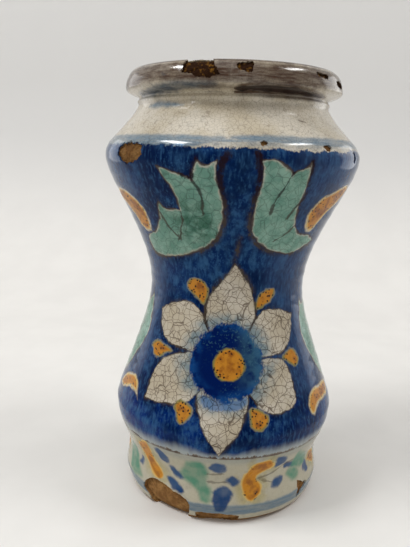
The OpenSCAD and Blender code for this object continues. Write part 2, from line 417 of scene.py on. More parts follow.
# the painting: outlines in (azimuth from the front, height), runs are smooth and meet at sharp corners
leafPair = {
    "leftLeaf": [
        [(-30.5, 158.5), (-25.5, 157.5), (-20.5, 156), (-15.5, 154)],
        [(-15.5, 154), (-14.5, 158), (-13, 161.5)],
        [(-13, 161.5), (-9.5, 159.5), (-5, 162)],
        [(-5, 162), (-5.5, 155.5), (-3.5, 148.5), (-2.5, 143), (-3.5, 136), (-8, 128.5), (-16.5, 124),
         (-29, 120.5), (-43, 119), (-53, 120), (-57.5, 124)],
        [(-57.5, 124), (-55, 127.5), (-45, 130.5), (-38.5, 136), (-36.5, 140.5), (-34.5, 144.5)],
        [(-34.5, 144.5), (-32.5, 141.5), (-28, 141.5), (-23.5, 141)],
        [(-23.5, 141), (-24, 146.5), (-26.5, 152), (-30.5, 158.5)],
    ],
    "rightLeaf": [
        [(11, 162), (12.5, 156), (11.5, 147), (11, 139), (12.5, 132.5), (18.5, 127), (29, 123.5), (41, 122.5),
         (52, 124.5), (59, 127.5)],
        [(59, 127.5), (53, 130), (42, 131.5), (36, 135.5), (34, 140), (32.5, 144.5)],
        [(32.5, 144.5), (33.5, 149), (33, 155), (33, 161.5)],
        [(33, 161.5), (29.5, 159), (25, 157)],
        [(25, 157), (22, 159.5), (17.5, 162), (11, 162)],
    ],
}
leafVeins = [
    [(-15.5, 154), (-13, 150), (-12, 145), (-12.5, 140)],
    [(-23.5, 141), (-23.5, 136.5), (-25.5, 132.5), (-28.5, 128)],
    [(25, 157), (22.5, 151.5), (20, 146), (19.5, 141)],
    [(34, 147), (31.5, 143.5), (29, 139)],
    [(-36, 139.5), (-33, 133), (-27, 128)],
    [(36, 135.5), (31, 131.5), (26, 129)],
]
# brown contour strokes beside the leaves: points and half widths in mm
leafStrokes = [
    ([(-1.5, 164), (-3.5, 159.5), (-4.5, 155), (-3, 148.5), (-1.5, 142.5), (-2.5, 136), (-7, 128),
      (-16, 123)], (1.3, 1.3, 1.0, 0.65, 0.5, 0.45, 0.4, 0.25)),
    ([(10, 164), (11, 159), (11.5, 154), (10.5, 146), (10, 139), (11.5, 132), (17.5, 126.3), (28, 122.8)],
     (1.3, 1.25, 1.0, 0.65, 0.5, 0.45, 0.4, 0.25)),
    ([(-13.5, 162), (-15, 158), (-15.8, 154.3), (-21, 156.3)], (0.4, 0.45, 0.4, 0.3)),
    ([(33.5, 162), (33.6, 155), (34, 149), (33, 144.5)], (0.45, 0.4, 0.4, 0.3)),
    ([(-43, 118.4), (-54, 119.2), (-58.5, 124)], (0.3, 0.4, 0.3)),
    ([(41, 121.8), (53, 123.8), (60, 127.5)], (0.3, 0.4, 0.3)),
]
flowerStrokes = [
    ([(4.5, 119.5), (5.5, 124), (6.5, 131)], (0.45, 0.35, 0.15)),
    ([(0, 113.5), (-8, 107), (-13, 100.5), (-14, 95.5), (-13.5, 91)], (0.15, 0.25, 0.35, 0.4, 0.3)),
    ([(9, 115.5), (16.5, 108), (20, 100), (20.5, 94)], (0.25, 0.2, 0.25, 0.35)),
]
sideForms = {
    "crescentLeft": [
        [(-74, 147), (-66, 148.5), (-57.5, 147), (-51.5, 144), (-47.5, 139.5), (-47, 134), (-49.5, 130)],
        [(-49.5, 130), (-55, 129.5), (-60, 132), (-62.5, 136.5), (-68, 140.5), (-73.5, 143), (-74, 147)],
    ],
    "crescentRight": [
        [(73, 151.5), (64, 152), (55.5, 150), (47.5, 147.5), (42.5, 143), (42, 137.5), (46.5, 132)],
        [(46.5, 132), (52.5, 132.5), (56, 137), (61.5, 141.5), (67, 145), (73, 149), (73, 151.5)],
    ],
    "lowCrescentLeft": [
        [(-79, 52), (-74, 57), (-66, 60.5), (-58, 61.5), (-52.5, 58.5), (-49, 52.5)],
        [(-49, 52.5), (-54, 55), (-61, 55), (-70, 52), (-79, 52)],
    ],
    "lowCrescentRight": [
        [(79, 57.5), (72, 58.5), (63, 59), (55.5, 58.5), (51, 56), (49.5, 52.5), (50.5, 49.5), (53, 47.5)],
        [(53, 47.5), (56.5, 50), (61, 51.5), (68, 51.5), (79, 52), (79, 57.5)],
    ],
}
crescentRim = 0.8  # mm of white left between a crescent's outline and its yellow
sideLeaf = [
    [(90, 53), (76, 61.5), (67, 71), (60.5, 81), (61, 88), (66, 98.5)],
    [(66, 98.5), (73, 95.5), (79, 97)],
    [(79, 97), (83, 106), (90, 113)],
    [(90, 113), (97, 106), (101, 97)],
    [(101, 97), (107, 95.5), (114, 98.5)],
    [(114, 98.5), (119, 88), (119.5, 81), (113, 71), (104, 61.5), (90, 53)],
]
sideVeins = [
    [(90, 58), (90, 72), (90, 88), (90, 103)],
    [(90, 70), (80, 77), (73, 86)],
    [(90, 70), (100, 77), (107, 86)],
]
flower = {
    "top": [
        [(4.5, 119), (-0.5, 112.5), (-8.5, 106), (-13, 100), (-13, 92.5), (-9, 85)],
        [(-9, 85), (12, 85)],
        [(12, 85), (19, 92.5), (20, 98.5), (16.5, 107), (10.5, 113), (4.5, 119)],
    ],
    "upperLeft": [
        [(-50, 94), (-43, 97), (-31, 99.5), (-21.5, 98.5), (-14, 93.5), (-8, 86)],
        [(-8, 86), (-12, 78.5)],
        [(-12, 78), (-22, 79), (-31, 79.5), (-41, 82), (-47.5, 88), (-50, 94)],
    ],
    "upperRight": [
        [(12, 86), (20.5, 93.5), (27, 97), (37, 97), (51, 93.5)],
        [(51, 93.5), (48.5, 87.5), (43, 81.5), (36, 78), (27, 77.5), (16, 77)],
        [(16, 77), (12, 86)],
    ],
    "lowerLeft": [
        [(-12, 78), (-22, 78.5), (-30.5, 76.5), (-39.5, 72.5), (-43, 66), (-44.5, 55)],
        [(-44.5, 55), (-35, 55.5), (-25, 56.5), (-16, 60), (-8, 68)],
        [(-8, 68), (-12, 78)],
    ],
    "lowerRight": [
        [(15, 76), (26, 76.5), (33, 76), (38, 73.5), (41, 67), (41.5, 57.5)],
        [(41.5, 57.5), (36, 54.5), (26, 54), (18.5, 57.5), (10, 67)],
        [(10, 67), (15, 76)],
    ],
    "bottom": [
        [(-1, 36.5), (-5.5, 43), (-10, 51), (-13, 57.5), (-13, 63.5), (-7, 69)],
        [(-7, 69), (9, 69)],
        [(9, 69), (13, 63.5), (12.5, 57.5), (8.5, 49), (4, 43), (-1, 36.5)],
    ],
}
flowerHeart = {"ringAt": (1.5, 76), "ring": 16.2, "discAt": (3, 74.6), "disc": 7.0,
               # petals take turns between two layers, so that neighbours keep their own outlines
               "everyOther": ("top", "lowerLeft", "lowerRight"),
               "band": [(-11, 62), (-9.5, 57), (1, 56), (10.5, 57.5), (12, 62), (1, 60)]}
buds = [
    [(-28, 106), (-24, 110.5), (-18, 110.5), (-13, 107.5), (-12.5, 104), (-15, 99.5), (-19, 101)],
    [(21, 97.5), (21, 101.5), (25, 105.5), (33, 107), (34.5, 104.5), (30.5, 99.5)],
    [(-51, 77), (-46, 80), (-38, 79), (-32.5, 77.5), (-38, 75.5), (-43, 73), (-48, 74)],
    [(37.5, 75.5), (40.5, 78), (45.5, 79), (50, 75), (48.5, 72), (44, 71.5)],
    [(-24.5, 56), (-21, 58.5), (-15, 56), (-16, 52), (-19.5, 49), (-22, 50.5)],
    [(13.5, 56), (16.5, 57), (23, 53.5), (22, 50), (18, 48), (13.5, 50)],
]
# the foot's border: closed rounded touches and thin lines; repeats are (turn, mirrored, limit), and touches
# further than limit degrees from the front are left out there
footBorder = {
    "ochre": [
        [(-51.5, 29.5), (-42.5, 34.3), (-40, 30), (-38.5, 24.5), (-35, 21.5), (-32.5, 18.5),
         (-36.5, 15.5), (-45, 20.5)],
        [(26, 32.5), (29, 27.5), (20.5, 23.5), (23, 19), (23, 15), (17.5, 11.5), (13.5, 14),
         (11.5, 21), (15, 28), (19.5, 32)],
        [(61, 20), (62.5, 25), (70, 23), (75, 17), (71, 15)],
    ],
    "copper": [
        [(-17.5, 30.5), (-9.5, 32), (-6, 27), (-7, 21.5), (-4, 16.5), (-5.5, 11), (-10, 12),
         (-12, 16), (-20, 20.5), (-22, 25)],
        [(39.5, 20), (41, 23), (46, 22.5), (50.5, 19.5), (50, 16), (44, 16)],
        [(43, 23), (43, 28.5), (46.5, 31.5), (57, 26), (56.5, 21.5), (50.5, 20)],
        [(-69, 24.5), (-57, 25.5), (-55, 17.5), (-50, 12), (-60, 10.5), (-67.5, 12.5)],
    ],
    "cobalt": [
        [(-51.5, 23), (-49.5, 21), (-51, 18), (-54.5, 19)],
        [(-36.5, 32.5), (-32.5, 33.5), (-28, 29.5), (-30, 26.5), (-35, 28)],
        [(-28.5, 24.5), (-25, 25), (-19.5, 21.5), (-21.5, 20), (-27, 21.5)],
        [(-30.5, 19), (-26.5, 19.5), (-20, 15.5), (-20.5, 12.5), (-25, 14), (-30, 17)],
        [(-6.5, 28.5), (-1.5, 32.5), (3.5, 29), (-1.5, 25.5)],
        [(2.5, 21.5), (6.5, 24.5), (11, 21.5), (7, 19)],
        [(-4, 16), (1.5, 19), (7, 16.5), (5, 11.5), (3.5, 8), (0.5, 7), (-2, 8), (-3.5, 12.5)],
        [(29.5, 33), (37, 30.5), (35, 27.5), (30, 27)],
        [(29.5, 19), (33, 20.5), (37, 20), (36.5, 17.5), (33, 15.5), (29.5, 16.5)],
        [(57, 23), (63, 16), (59, 15.5), (54.5, 19.5)],
        [(37, 24.5), (38, 27.5), (46, 25.5), (44.5, 23)],
    ],
    "lines": [
        [(-6, 21), (-2, 20.8), (3, 21.2)], [(-6, 25), (-3, 25.2), (1, 25.5)],
        [(21.5, 22.5), (29, 23.4), (35.5, 26.5), (42, 27.7)], [(23, 21), (26, 20), (29.5, 19)],
    ],
    "repeats": [(0, False, 80), (118, True, 48), (-118, True, 48), (180, True, 13)],
}
# thin colour that runs all round: (height from, to, softness in mm, strength)
thinBands = {
    "cobaltWash": [(5.2, 10.2, 1.3, 1.4), (166.6, 170.9, 1.4, 0.5)],
    # the brown band on the rim's face is partly painted shade
    "manganeseWashAndShade": [(191.5, 199, 1.8, 0.98), (34.5, 36.3, 0.7, 1.15), (199, 200.2, 0.5, 1.0)],
    "smearWash": [],
}
# thin colour brushed on at one place: points, half widths, softness and strength
thinStrokes = {
    "cobaltWash": [
        ([(-100, 169), (-70, 168.4), (-40, 168.2), (-18, 168.5), (-3, 169.6)],
         (1.8, 3.0, 3.4, 3.0, 0.9), 1.4, 1.1),
        ([(0, 169.9), (14, 169.9), (45, 169.4), (75, 169.1), (105, 169.2)],
         (0.8, 1.9, 2.1, 2.2, 1.8), 1.4, 1.05),
        ([(-10, 169), (0, 168.8), (10, 169.2)], (0.7, 0.9, 0.7), 1.0, 1.0),
        ([(100, 169.3), (125, 169.5), (150, 169.4), (176, 169.6)], (1.4, 1.6, 1.6, 0.8), 1.2, 1.05),
        ([(-178, 169.3), (-150, 169.5), (-125, 169.3), (-96, 169)], (0.8, 1.6, 1.7, 1.7), 1.2, 1.05),
        ([(-52, 182.8), (-44, 183.3), (-34, 183), (-27, 182.6)], (0.8, 1.5, 1.3, 0.5), 1.6, 0.95),
        ([(-36, 194.8), (-34.8, 194.2), (-33.5, 193.8)], (0.5, 0.7, 0.4), 0.5, 0.9),
        ([(105, 182.6), (120, 183.2), (140, 183)], (0.6, 1.4, 0.6), 1.2, 0.7),
    ],
    "manganeseWashAndShade": [
        # on the rim's face and in the groove under it this brown is partly painted shade
        ([(-40, 195.2), (0, 194.6), (40, 194.6), (80, 195)], (2.5, 4.4, 4.4, 2.5), 2.4, 1.05),
        ([(-100, 194.6), (-75, 194.4), (-45, 194.6)], (2.5, 4.4, 3.0), 2.4, 1.12),
        ([(5, 189.2), (15, 189.3), (30, 189.1), (45, 188.6), (60, 188)], (2.6, 3.8, 4.0, 2.4, 0.8), 3.0, 1.9),
        ([(2.5, 189), (4.5, 189), (6.5, 189)], (1.4, 2.2, 1.4), 1.0, 2.6),
        ([(-16, 189.4), (-6, 189.6), (4, 189.3)], (1.2, 2.2, 2.0), 2.4, 0.6),
        ([(-125, 188.4), (-105, 188.9), (-88, 188.3)], (1.0, 2.6, 1.0), 1.6, 0.7),
        ([(33, 177.8), (35, 177.4), (37, 177.2)], (0.3, 0.4, 0.3), 0.4, 0.8),
    ],
    "smearWash": [
        ([(-66, 188), (-45, 188.9), (-31, 189.6), (-10, 190)], (1.2, 2.6, 3.0, 2.0), 3.0, 1.3),
        ([(105, 188), (125, 189), (150, 188.6)], (1.2, 2.6, 1.0), 1.6, 0.9),
        ([(-170, 188.4), (-150, 189), (-132, 188.6)], (1.0, 2.5, 1.0), 1.6, 0.8),
    ],
}

# where a panel's blues and greens run thin or deep, and its ground has painted sheen: degrees across from the
# ring's middle, heights in mm
panelTones = {
    "halfWidth": 60,
    # the ring's thin side: across from and to, height, and mm from there over which it ends
    "thinRing": {"across": (2, 16), "height": 78, "away": (9, 16), "strength": 0.6},
    # blue that ran from the ring into the petals: mm that it reaches below and above the ring's middle
    "run": {"below": 11, "above": 7, "full": 0.25},
    # the ground deeper (-1), or paler and greyer (1) as a painted sheen of the pale room at the panel's
    # sides:
    # degrees across (starts, full from, full to, ends) and heights (starts, full from)
    "ground": (
        (1, (14, 36, 62, 85), (52, 66)),
        (1, (-89, -74, -56, -40), (62, 76)),
        (-1, (-54, -38, -24, -8), (134, 150)),
        (-1, (2, 16, 40, 60), (58, 46)),
    ),
    # the deep patch in the left leaf: middle, reach, and how far it is drawn out sideways
    "deepGreen": {"at": (-17, 136), "reach": 13, "squeeze": 0.75, "fade": (0.2, 1.1)},
}
blueEdge = {
    "low": 0.7,            # mm above the lower edge of its coat
    "top": 166.5,
    "waves": ((0.5, 2, 200), (0.25, 7, 0)),  # the upper edge's sway: mm, waves round, start in degrees
    "thinningAndFloorReflection": (4.0, 3.0),  # mm over which the blue pales below, thinning and with a painted reflection of the floor, and how many more at the sides
    "sides": (6, 18),      # degrees off the middle of the front and back where that starts
}
panels = ((0, False), (180, True))  # the front, and the back as its mirror image
leafSides = (0, 180)
paintReach = 6.0  # mm beyond an outline to which its distance is kept
curveSteps = 6    # points laid between two points of an outline
dabSteps = 20     # points round a round dab
distanceLayers = (
    "copper", "ochre", "crescent", "manganese", "petalA", "petalB", "petalBand", "ring", "disc",
    "vein", "veinNear", "footCobalt")
toneLayers = ("dilute", "petalWash", "groundDepthAndSheen", "copperDeep")
paintLayers = distanceLayers + toneLayers + ("cobalt", "thinningAndFloorReflection") + tuple(thinBands)


def throughPoints(points):
    # a smooth run through its points
    p = np.array(points, float)
    p = np.vstack([2 * p[0] - p[1], p, 2 * p[-1] - p[-2]])
    t = np.linspace(0, 1, curveSteps, endpoint=False)[:, None]
    parts = []
    for a, b, c, d in zip(p, p[1:], p[2:], p[3:]):
        curve = 2 * b + (c - a) * t + (2 * a - 5 * b + 4 * c - d) * t * t + (3 * b - a - 3 * c + d) * t ** 3
        parts.append(0.5 * curve)
    return np.vstack(parts + [p[-2:-1]])


def outlineOf(runs):
    return np.vstack([throughPoints(run)[:-1] for run in runs])


def roundedOutline(points):
    # a closed smooth form, like a bud laid down with one touch of the brush
    p = list(points)
    return throughPoints(p[-2:] + p + p[:2])[2 * curveSteps:-2 * curveSteps - 1]


def roundDab(at, radius):
    azimuth, z = at
    turn = np.linspace(0, 2 * math.pi, dabSteps, endpoint=False)
    across = np.degrees(radius * np.cos(turn) / wallRadius(z))
    return np.stack([azimuth + across, z + radius * np.sin(turn)], 1)


def wrapped(degrees):
    return (degrees + 180) % 360 - 180


def surfaceOf(piece):
    co = readCo(piece)
    z = co[:, 2]
    return {"azimuth": azimuthOf(co), "z": z, "travel": wallTravel(z), "radius": np.hypot(co[:, 0], co[:, 1])}


def nearby(surface, points):
    # vertices within reach of the points, and the points as mm from each of them
    middle = points[:, 0].mean()
    pointAz = points[:, 0] - middle
    pointTravel = wallTravel(points[:, 1])
    az = wrapped(surface["azimuth"] - middle)
    reach = np.degrees(paintReach / surface["radius"])
    near = np.nonzero((az > pointAz.min() - reach) & (az < pointAz.max() + reach)
                      & (surface["travel"] > pointTravel.min() - paintReach)
                      & (surface["travel"] < pointTravel.max() + paintReach))[0]
    scale = math.radians(1) * surface["radius"][near][:, None]
    x = ((pointAz[None, :] - az[near][:, None]) * scale).astype(np.float32)
    y = (pointTravel[None, :] - surface["travel"][near][:, None]).astype(np.float32)
    return near, x, y


def gapsTo(x, y, ex, ey):
    # for each straight run: the share along it of its nearest point, and mm to there
    t = np.clip(-(x * ex + y * ey) / (ex * ex + ey * ey + 1e-9), 0, 1)
    return t, np.sqrt((x + t * ex) ** 2 + (y + t * ey) ** 2)


def areaDistance(surface, outline):
    # mm to a closed outline, negative inside it
    found = np.full(len(surface["z"]), paintReach)
    near, x, y = nearby(surface, outline)
    y2 = np.roll(y, -1, 1)
    ex, ey = np.roll(x, -1, 1) - x, y2 - y
    gap = gapsTo(x, y, ex, ey)[1].min(1)
    crossing = ((y > 0) != (y2 > 0)) & (x - y * ex / np.where(np.abs(ey) < 1e-9, 1e-9, ey) > 0)
    found[near] = np.where(crossing.sum(1) % 2 == 1, -gap, gap)
    return np.minimum(found, paintReach)


def strokeDistance(surface, points, halfWidths):
    # mm to the edge of a brush stroke, negative inside, and mm to its middle line with a sign for the side
    edge = np.full(len(surface["z"]), paintReach)
    side = edge.copy()
    run = throughPoints(points)
    widths = np.interp(np.linspace(0, 1, len(run)), np.linspace(0, 1, len(halfWidths)), halfWidths)
    near, x, y = nearby(surface, run)
    ex, ey = np.diff(x, axis=1), np.diff(y, axis=1)
    x, y = x[:, :-1], y[:, :-1]
    t, gap = gapsTo(x, y, ex, ey)
    edge[near] = (gap - (widths[:-1] + t * np.diff(widths))).min(1)
    best = gap.argmin(1)[:, None]
    isLeft = np.take_along_axis(x * ey - y * ex, best, 1)[:, 0] > 0
    side[near] = np.where(isLeft, 1, -1) * np.take_along_axis(gap, best, 1)[:, 0]
    return np.minimum(edge, paintReach), np.clip(side, -paintReach, paintReach)


def smoothStep(value, low, high):
    t = np.clip((value - low) / (high - low), 0, 1)
    return t * t * (3 - 2 * t)


def thinWash(surface, key):
    density = np.zeros(len(surface["z"]))
    for low, top, soft, strength in thinBands[key]:
        away = np.maximum(wallTravel(low) - surface["travel"], surface["travel"] - wallTravel(top))
        density = np.maximum(density, strength * (1 - smoothStep(away, -soft, soft)))
    for points, widths, soft, strength in thinStrokes[key]:
        edge = strokeDistance(surface, np.array(points, float), widths)[0]
        density = np.maximum(density, strength * (1 - smoothStep(edge, -soft, soft)))
    return density


def turned(points, turn, mirrored):
    p = np.array(points, float)
    if mirrored:
        p[:, 0] = -p[:, 0]
    p[:, 0] += turn
    return p


def addArea(surface, paint, layer, outline):
    paint[layer] = np.minimum(paint[layer], areaDistance(surface, outline))


def addVein(surface, paint, points):
    edge, side = strokeDistance(surface, points, (0.0, 0.0))
    paint["vein"] = np.where(edge < paint["veinNear"], side, paint["vein"])
    paint["veinNear"] = np.minimum(paint["veinNear"], edge)


def paintTones(surface, paint, turn, mirrored):
    # the brush was fuller or drier from place to place in a panel; the ground's paler, greyer patches at the
    # sides are painted sheen
    z = surface["z"]
    tones = panelTones
    ringAzimuth, ringZ = flowerHeart["ringAt"]
    fromMiddle = (-1 if mirrored else 1) * wrapped(surface["azimuth"] - turn)
    across = fromMiddle - ringAzimuth
    onPanel = np.abs(fromMiddle) < tones["halfWidth"]
    thin = tones["thinRing"]
    lit = smoothStep(across, *thin["across"]) * onPanel
    lit *= 1 - smoothStep(np.abs(z - thin["height"]), *thin["away"])
    paint["dilute"] = np.maximum(paint["dilute"], thin["strength"] * lit * (paint["ring"] < 0))
    offRing = np.hypot(np.radians(across) * surface["radius"], surface["travel"] - wallTravel(ringZ))
    reach = np.where(z < ringZ, tones["run"]["below"], tones["run"]["above"])
    spread = 1 - smoothStep((offRing - flowerHeart["ring"]) / reach, tones["run"]["full"], 1)
    paint["petalWash"] = np.maximum(paint["petalWash"], onPanel * spread)
    for sign, (start, full, notFull, end), heights in tones["ground"]:
        patch = smoothStep(across, start, full) * (1 - smoothStep(across, notFull, end))
        paint["groundDepthAndSheen"] += sign * patch * smoothStep(z, *heights)
    green = tones["deepGreen"]
    off = np.hypot((fromMiddle - green["at"][0]) * green["squeeze"], z - green["at"][1]) / green["reach"]
    paint["copperDeep"] = np.maximum(paint["copperDeep"], onPanel * (1 - smoothStep(off, *green["fade"])))


def paintBody(surface, paint):
    for turn, mirrored in panels:
        for points in leafVeins:
            addVein(surface, paint, turned(points, turn, mirrored))
        for points, widths in leafStrokes + flowerStrokes:
            edge = strokeDistance(surface, turned(points, turn, mirrored), widths)[0]
            paint["manganese"] = np.minimum(paint["manganese"], edge)
        forms = [("copper", outlineOf(runs)) for runs in leafPair.values()]
        forms += [("crescent", outlineOf(runs)) for runs in sideForms.values()]
        forms += [("petalA" if name in flowerHeart["everyOther"] else "petalB", outlineOf(runs))
                  for name, runs in flower.items()]
        forms += [("ochre", roundedOutline(points)) for points in buds]
        forms += [(key, roundDab(flowerHeart[key + "At"], flowerHeart[key])) for key in ("ring", "disc")]
        forms.append(("petalBand", roundedOutline(flowerHeart["band"])))
        for layer, outline in forms:
            addArea(surface, paint, layer, turned(outline, turn, mirrored))
        paintTones(surface, paint, turn, mirrored)
    paint["ochre"] = np.minimum(paint["ochre"], paint["crescent"] + crescentRim)
    for turn in leafSides:
        addArea(surface, paint, "copper", turned(outlineOf(sideLeaf), turn, False))
        for points in sideVeins:
            addVein(surface, paint, turned(points, turn, False))
    azimuth, z = surface["azimuth"], surface["z"]
    sway = sum(size * np.sin(np.radians(waves * azimuth + start)) for size, waves, start in blueEdge["waves"])
    aboveTop = wallTravel(z) - wallTravel(blueEdge["top"] + sway)
    paint["cobalt"] = np.maximum(jarForm["bodyLow"] + blueEdge["low"] - z, aboveTop)
    # the blue pales over its last few mm, least in the middle of the front and back: thinning blue with a
    # painted reflection of the floor
    offMiddle = np.abs(wrapped(2 * azimuth)) / 2
    reach = blueEdge["thinningAndFloorReflection"][0] + blueEdge["thinningAndFloorReflection"][1] * smoothStep(offMiddle, *blueEdge["sides"])
    paint["thinningAndFloorReflection"] = (jarForm["bodyLow"] + reach - z) / reach


def paintFoot(surface, paint):
    for turn, mirrored, limit in footBorder["repeats"]:
        for key, layer in (("ochre", "ochre"), ("copper", "copper"), ("cobalt", "footCobalt")):
            for points in footBorder[key]:
                if abs(np.mean([p[0] for p in points])) < limit:
                    addArea(surface, paint, layer, turned(roundedOutline(points), turn, mirrored))
        for points in footBorder["lines"]:
            if abs(np.mean([p[0] for p in points])) < limit:
                addVein(surface, paint, turned(points, turn, mirrored))


for piece in (neck, body, foot):
    surface = surfaceOf(piece)
    count = len(surface["z"])
    paint = {layer: np.full(count, paintReach) for layer in distanceLayers}
    paint.update({layer: np.zeros(count) for layer in toneLayers})
    paintBody(surface, paint)
    paintFoot(surface, paint)
    paint.update({layer: thinWash(surface, layer) for layer in thinBands})
    for layer in paintLayers:
        held = piece.data.attributes.new(layer, "FLOAT", "POINT")
        held.data.foreach_set("value", np.asarray(paint[layer], np.float32))
    print("painted", piece.name, count, "vertices")


# the steps that the finishes are made of: shader node, inputs in the order given, output and settings
nodeSteps = {
    "place": ("TexCoord", (), "Object", {}),
    "read": ("Attribute", (), "Fac", {}),
    "heightOf": ("SeparateXYZ", (0,), "Z", {}),
    "redOf": ("SeparateColor", (0,), 0, {}),
    "grain": ("TexNoise", ("Vector", "Scale", "Detail"), "Fac", {}),
    "drift": ("TexNoise", ("Vector", "Scale"), "Color", {}),
    "cellEdge": ("TexVoronoi", ("Vector", "Scale"), "Distance", {"feature": "DISTANCE_TO_EDGE"}),
    "cellMiddle": ("TexVoronoi", ("Vector", "Scale"), "Distance", {"feature": "F1"}),
    "cellTone": ("TexVoronoi", ("Vector", "Scale"), "Color", {"feature": "F1"}),
    "stretch": ("VectorMath", (0, 1), 0, {"operation": "MULTIPLY"}),
    "shift": ("VectorMath", (0, 1, 2), 0, {"operation": "MULTIPLY_ADD"}),
    "times": ("Math", (0, 1), 0, {"operation": "MULTIPLY"}),
    "timesPlus": ("Math", (0, 1, 2), 0, {"operation": "MULTIPLY_ADD"}),
    "plus": ("Math", (0, 1), 0, {"operation": "ADD"}),
    "minus": ("Math", (0, 1), 0, {"operation": "SUBTRACT"}),
    "over": ("Math", (0, 1), 0, {"operation": "DIVIDE"}),
    "most": ("Math", (0, 1), 0, {"operation": "MAXIMUM"}),
    "least": ("Math", (0, 1), 0, {"operation": "MINIMUM"}),
    "size": ("Math", (0,), 0, {"operation": "ABSOLUTE"}),
    "ramp": ("MapRange", ("Value", "From Min", "From Max", "To Min", "To Max"), 0,
             {"interpolation_type": "SMOOTHSTEP"}),
    "mix": ("Mix", (0, 6, 7), 2, {"data_type": "RGBA"}),
    "darken": ("Mix", (0, 6, 7), 2, {"data_type": "RGBA", "blend_type": "MULTIPLY"}),
    "bump": ("Bump", ("Height", "Strength", "Distance"), "Normal", {}),
}


def linearColour(hexValue):
    parts = [int(hexValue[k:k + 2], 16) / 255 for k in (1, 3, 5)]
    return [c / 12.92 if c <= 0.04045 else ((c + 0.055) / 1.055) ** 2.4 for c in parts] + [1.0]


def setSocket(tree, socket, value):
    if isinstance(value, bpy.types.NodeSocket):
        tree.links.new(value, socket)
    else:
        socket.default_value = linearColour(value) if isinstance(value, str) else value


def addNode(tree, step, *values, **settings):
    # a pattern's scale is given as a size in mm
    kind, sockets, output, fixed = nodeSteps[step]
    made = tree.nodes.new("ShaderNode" + kind)
    for key, value in {**fixed, **settings}.items():
        setattr(made, key, value)
    for key, value in zip(sockets, values):
        setSocket(tree, made.inputs[key], 1000 / value if key == "Scale" else value)
    return made.outputs[output]


def startMaterial(name):
    material = bpy.data.materials.new(name)
    material.use_nodes = True
    step = functools.partial(addNode, material.node_tree)
    return material, step, step("place")


def finishMaterial(material, sockets):
    tree = material.node_tree
    for name, value in sockets.items():
        setSocket(tree, tree.nodes["Principled BSDF"].inputs[name], value)
    print("mixed", material.name, len(tree.nodes), "nodes")
    return material


def layOver(step, under, colour, *amounts):
    # one colour over another, as strong as the product of the amounts
    return step("mix", functools.reduce(functools.partial(step, "times"), amounts), under, colour)


def wandering(step, place, size, amount):
    # the place shifted about by up to so many mm, so that what is drawn there doesn't run straight
    return step("shift", step("drift", place, size), (amount * mm,) * 3, place)


def cracks(step, place, size, width):
    return step("ramp", step("cellEdge", place, size), width / size, 0.25 * width / size)


def pits(step, place, size, radius):
    # most of the cells hold a round pit
    chosen = step("ramp", step("redOf", step("cellTone", place, size)), 0.2, 0.3)
    near = step("ramp", step("cellMiddle", place, size), 1.3 * radius / size, 0.7 * radius / size)
    return step("times", chosen, near)


pigments = {
    "tinWhite": "#c8c0b0", "tinCream": "#b6ab95", "footWhite": "#aaa692", "greyBelowBlue": "#94978f",
    "stain": "#8a7b65", "crackle": "#5e4633",
    "cobalt": "#052250", "cobaltDeep": "#000f33", "cobaltLow": "#002160", "cobaltPale": "#335a80",
    "cobaltSheenGrey": "#354766", "fadedBlueAndReflection": "#a0a6a3", "cobaltThin": "#647886", "smear": "#3c4650",
    "ringBlue": "#011348", "ringOuter": "#14437c", "ringThin": "#3a6070", "petalBlue": "#6c7e84",
    "bandBlue": "#4d6c93", "dabBlue": "#2b4a72", "dabDeep": "#003464",
    "copper": "#5f8a79", "copperPale": "#82a594", "copperDeep": "#225740", "copperWet": "#4c846b",
    "ochre": "#b87a1e", "ochreFoot": "#bf7c0a", "ochreFringe": "#cdab5c", "ochreDark": "#80460a",
    "ochreRim": "#7c743a", "ochreStain": "#a2955c", "pit": "#160c05",
    "manganese": "#200d08", "manganeseThin": "#3e2512", "contourThin": "#43382b", "outline": "#3a2c22",
}
# marks of brush and kiln in the glaze: which way they run, size in mm and detail
glazeMarks = {
    "fine": ("free", 0.8, 3.0), "broad": ("free", 6.0, 3.0), "patch": ("free", 17.0, 4.0),
    "cloud": ("free", 4.5, 5.0), "shake": ("free", 3.4, 2.0), "press": ("free", 4.5, 2.0),
    "dirt": ("free", 11.0, 5.0), "speck": ("free", 0.9, 1.0), "dull": ("free", 2.8, 4.0),
    "swell": ("free", 2.2, 2.0), "hair": ("upright", 0.65, 2.0), "bristle": ("upright", 1.1, 2.0),
    "brushed": ("upright", 3.2, 3.0), "rope": ("level", 14.0, 3.0), "thread": ("level", 5.0, 2.0),
}
# heights in m where one finish gives way to another
glazeHeights = {
    "onFoot": (0.0352, 0.0342), "greyBelowBlue": (0.0295, 0.0335), "dabDeep": (0.0185, 0.0155),
    "aboveFoot": (0.034, 0.036), "lowBlue": (0.064, 0.05), "darkStrokes": (0.138, 0.152),
    "neckCrackle": (0.15, 0.16),
}


